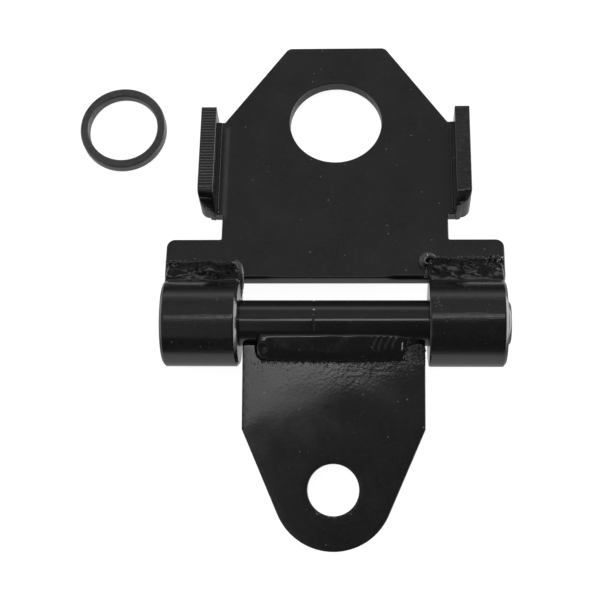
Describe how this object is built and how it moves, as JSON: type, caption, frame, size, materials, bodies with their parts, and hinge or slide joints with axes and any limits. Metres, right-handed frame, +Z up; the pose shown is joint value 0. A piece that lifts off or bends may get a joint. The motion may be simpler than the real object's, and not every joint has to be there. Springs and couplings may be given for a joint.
{
  "type": "hinged ball-mount bracket",
  "caption": "Flat hitch-ball plate with side tabs, hinged by a welded rod and two barrels to a rounded tongue plate with a bolt hole, with a loose shank reducer ring.",
  "frame": {"origin": "middle of the footprint on the surface that the bracket and the ring lie on", "axes": "+Z up; X along the hinge axis; +Y from the tongue towards the large hole, the longest extent"},
  "size_m": [0.1552, 0.1874, 0.03],
  "materials": {
    "plate_paint": "satin black paint on flat steel plate",
    "tab_paint": "satin black paint over cut marks",
    "barrel_paint": "gloss black paint on turned tube",
    "rod_paint": "gloss black paint on round bar",
    "tongue_paint": "gloss black paint with a slight orange peel",
    "weld_paint": "gloss black paint over weld beads",
    "ring_finish": "satin black plating"
  },
  "bodies": {
    "bracket": {"hitch_plate": "plate_paint", "left_tab": "tab_paint", "right_tab": "tab_paint", "left_barrel": "barrel_paint", "right_barrel": "barrel_paint", "left_barrel_weld_front": "weld_paint", "right_barrel_weld_front": "weld_paint", "left_barrel_weld_back": "weld_paint", "right_barrel_weld_back": "weld_paint", "left_tab_weld_front": "weld_paint", "right_tab_weld_front": "weld_paint", "left_tab_weld_back": "weld_paint", "right_tab_weld_back": "weld_paint"},
    "tongue": {"tongue_plate": "tongue_paint", "hinge_rod": "rod_paint", "tongue_weld_front": "weld_paint", "tongue_weld_back": "weld_paint"},
    "ring": {"reducer_ring": "ring_finish"}
  },
  "joints": [
    {"name": "tongue_hinge", "type": "hinge", "parent": "bracket", "child": "tongue", "pos_m": [0.0173, -0.01675, 0.015], "axis": [1, 0, 0], "range_deg": [-165, 139]},
    {"name": "ring_lift", "type": "slide", "parent": "bracket", "child": "ring", "axis": [0, 0, 1], "range_m": [0, 0.06]}
  ]
}
